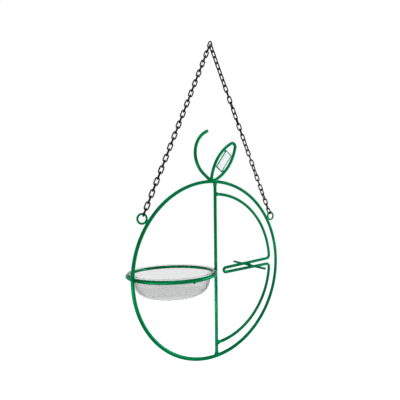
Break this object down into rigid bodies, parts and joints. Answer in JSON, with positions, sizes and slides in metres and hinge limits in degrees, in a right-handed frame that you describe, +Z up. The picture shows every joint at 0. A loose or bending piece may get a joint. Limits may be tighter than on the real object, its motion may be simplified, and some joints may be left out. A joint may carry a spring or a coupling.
{
  "type": "bird fruit feeder",
  "caption": "Apple-shaped wire bird feeder with a fruit spike, a perch and a lift-out clear dish, hanging from a link chain that gathers in a top link for a hook.",
  "frame": {"origin": "seat of the hook: the inside of the hanging link's upper end, in the plane of the wire ring", "axes": "+Z up, +X from the dish side to the fruit spike side in the plane of the ring, -Y towards the viewer, so that the dish is set back towards +Y"},
  "size_m": [0.3056, 0.1506, 0.5492],
  "materials": {
    "green_wire": "gloss",
    "black_chain": "satin",
    "clear_dish": "gloss",
    "white_card": "matte"
  },
  "bodies": {
    "hanger_links": {"hanging_link": "black_chain", "top_left_links": "black_chain", "top_right_links": "black_chain"},
    "upper_chain": {"upper_left_links": "black_chain", "upper_right_links": "black_chain"},
    "lower_chain": {"lower_left_links": "black_chain", "lower_right_links": "black_chain", "left_end_link": "black_chain", "right_end_link": "black_chain"},
    "frame": {"outer_ring": "green_wire", "centre_rod": "green_wire", "fruit_spike_wire": "green_wire", "perch_bar": "green_wire", "dish_ring": "green_wire", "stem_wire": "green_wire", "leaf_wire": "green_wire", "tag_frame": "green_wire", "left_eyelet": "green_wire", "right_eyelet": "green_wire", "rod_welds": "green_wire", "spike_welds": "green_wire", "perch_welds": "green_wire", "dish_ring_welds": "green_wire", "dish_ring_seam": "green_wire", "crown_welds": "green_wire", "tag_lugs": "green_wire", "eyelet_welds": "green_wire", "tag_card": "white_card"},
    "dish": {"dish": "clear_dish"}
  },
  "joints": [
    {"name": "chain_swing", "type": "hinge", "parent": "hanger_links", "child": "upper_chain", "pos_m": [-0.00094, 0, -0.06455], "axis": [0.9963, 0, 0.0862], "range_deg": [-25, 25]},
    {"name": "chain_fold", "type": "hinge", "parent": "upper_chain", "child": "lower_chain", "pos_m": [0.00179, 0, -0.17631], "axis": [0.9993, 0, 0.0373], "range_deg": [-25, 25]},
    {"name": "frame_rock", "type": "hinge", "parent": "lower_chain", "child": "frame", "pos_m": [0.00692, 0, -0.29914], "axis": [1, 0, -0.0094], "range_deg": [-25, 25]},
    {"name": "dish_lift", "type": "slide", "parent": "frame", "child": "dish", "axis": [0.0174, 0.0454, 0.9988], "range_m": [0, 0.018]}
  ]
}
